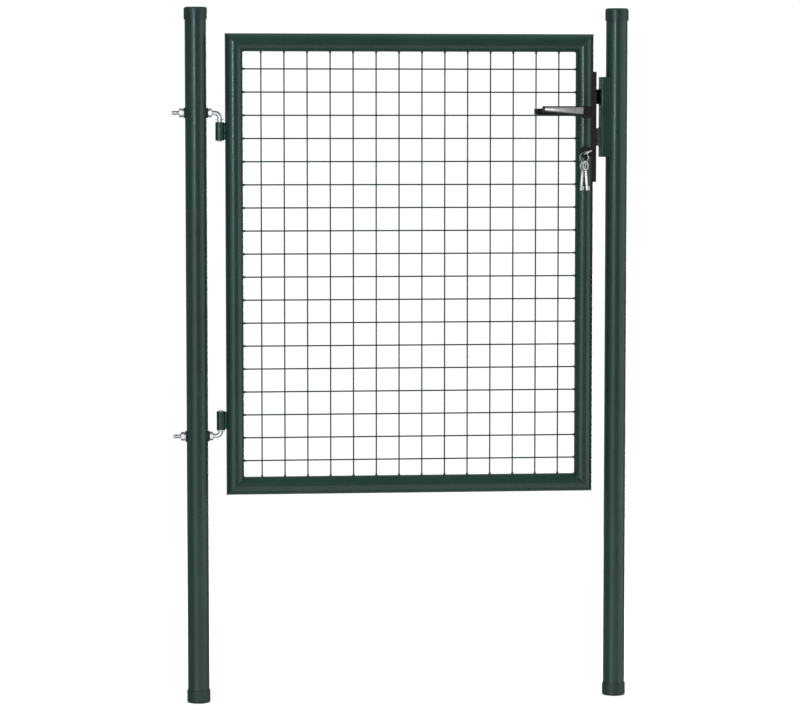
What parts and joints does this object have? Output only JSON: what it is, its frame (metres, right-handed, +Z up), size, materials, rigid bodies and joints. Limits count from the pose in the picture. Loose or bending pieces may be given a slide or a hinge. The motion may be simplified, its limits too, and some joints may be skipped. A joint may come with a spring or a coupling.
{
  "type": "garden gate",
  "caption": "Single garden gate: round posts, a tube-framed leaf filled with welded mesh, hook hinges, and a lever lock with a hanging key ring.",
  "frame": {"origin": "centre of the underside of the hinge post's foot cap", "axes": "+X from the hinge post to the latch post, +Y to the back (the side away from the key ring), +Z up"},
  "size_m": [0.9955, 0.136, 1.512],
  "materials": {
    "green_coat": "dark green gloss powder coat",
    "green_coat_posts": "dark green gloss powder coat",
    "green_wire": "dark green coat over welded wire",
    "cap_plastic": "dark green moulded plastic",
    "zinc": "bright zinc plate",
    "black_plastic": "satin black moulded plastic",
    "black_coat": "satin black coat",
    "chrome": "polished",
    "steel": "plain steel",
    "nickel": "bright nickel plate"
  },
  "bodies": {
    "posts": {"hinge_post": "green_coat_posts", "latch_post": "green_coat_posts", "hinge_post_top_cap": "cap_plastic", "hinge_post_foot_cap": "cap_plastic", "latch_post_top_cap": "cap_plastic", "latch_post_foot_cap": "cap_plastic", "upper_hinge_hook": "zinc", "lower_hinge_hook": "zinc", "hook_nuts": "zinc", "hook_washers": "zinc", "saddle_washers": "black_plastic", "strike_box": "green_coat_posts", "strike_welds": "green_coat_posts"},
    "leaf": {"hinge_stile": "green_coat", "lock_stile": "green_coat", "top_rail": "green_coat", "bottom_rail": "green_coat", "corner_welds": "green_coat", "vertical_wires": "green_wire", "horizontal_wires": "green_wire", "upper_hinge_sleeve": "green_coat", "lower_hinge_sleeve": "green_coat", "sleeve_welds": "green_coat", "lock_forend": "black_coat", "forend_screws": "black_coat", "lock_case": "steel", "lock_case_cover": "steel", "case_rivets": "steel", "front_rose": "black_plastic", "rear_rose": "black_plastic", "front_key_rose": "black_plastic", "rear_key_rose": "black_plastic", "lever_spring": "steel", "detent_spring": "steel"},
    "handle": {"follower": "steel", "spindle": "steel", "front_lever": "black_plastic", "front_lever_insert": "chrome", "rear_lever": "black_plastic", "rear_lever_insert": "chrome", "lever_grub_screws": "steel"},
    "latch": {"latch_bolt": "steel"},
    "dead": {"dead_bolt": "steel"},
    "key": {"lock_key": "nickel"},
    "ring": {"key_ring": "nickel"},
    "spare_a": {"spare_key_a": "nickel"},
    "spare_b": {"spare_key_b": "nickel"}
  },
  "joints": [
    {"name": "leaf_swing", "type": "hinge", "parent": "posts", "child": "leaf", "pos_m": [0.0511, 0, 0.598], "axis": [0, 0, 1], "range_deg": [-105, 105]},
    {"name": "lever_turn", "type": "hinge", "parent": "leaf", "child": "handle", "pos_m": [0.8471, 0, 1.2863], "axis": [0, -1, 0], "range_deg": [0, 40], "stiffness_Nm_per_rad": 1, "springref_deg": -34.38},
    {"name": "latch_slide", "type": "slide", "parent": "leaf", "child": "latch", "axis": [-1, 0, 0], "range_m": [0, 0.013]},
    {"name": "key_turn", "type": "hinge", "parent": "leaf", "child": "key", "pos_m": [0.8471, 0, 1.1995], "axis": [0, -1, 0], "range_deg": [0, 124]},
    {"name": "dead_bolt_slide", "type": "slide", "parent": "leaf", "child": "dead", "axis": [-1, 0, 0], "range_m": [0, 0.0165]},
    {"name": "ring_turn", "type": "hinge", "parent": "key", "child": "ring", "pos_m": [0.83889, -0.0502, 1.19513], "axis": [0, -1, 0], "range_deg": [-124, 0]},
    {"name": "spare_key_a_swing", "type": "hinge", "parent": "ring", "child": "spare_a", "pos_m": [0.83702, -0.04839, 1.17703], "axis": [-0.7193, 0.6947, 0], "range_deg": [-15, 60]},
    {"name": "spare_key_b_swing", "type": "hinge", "parent": "ring", "child": "spare_b", "pos_m": [0.84076, -0.05201, 1.17703], "axis": [-0.7193, 0.6947, 0], "range_deg": [-15, 60]}
  ],
  "couplings": [
    {"joint": "latch_slide", "follows": "lever_turn", "m_per_rad": 0.0186},
    {"joint": "key_turn", "follows": "dead_bolt_slide", "rad_per_m": 131.16},
    {"joint": "ring_turn", "follows": "dead_bolt_slide", "rad_per_m": -131.16}
  ]
}
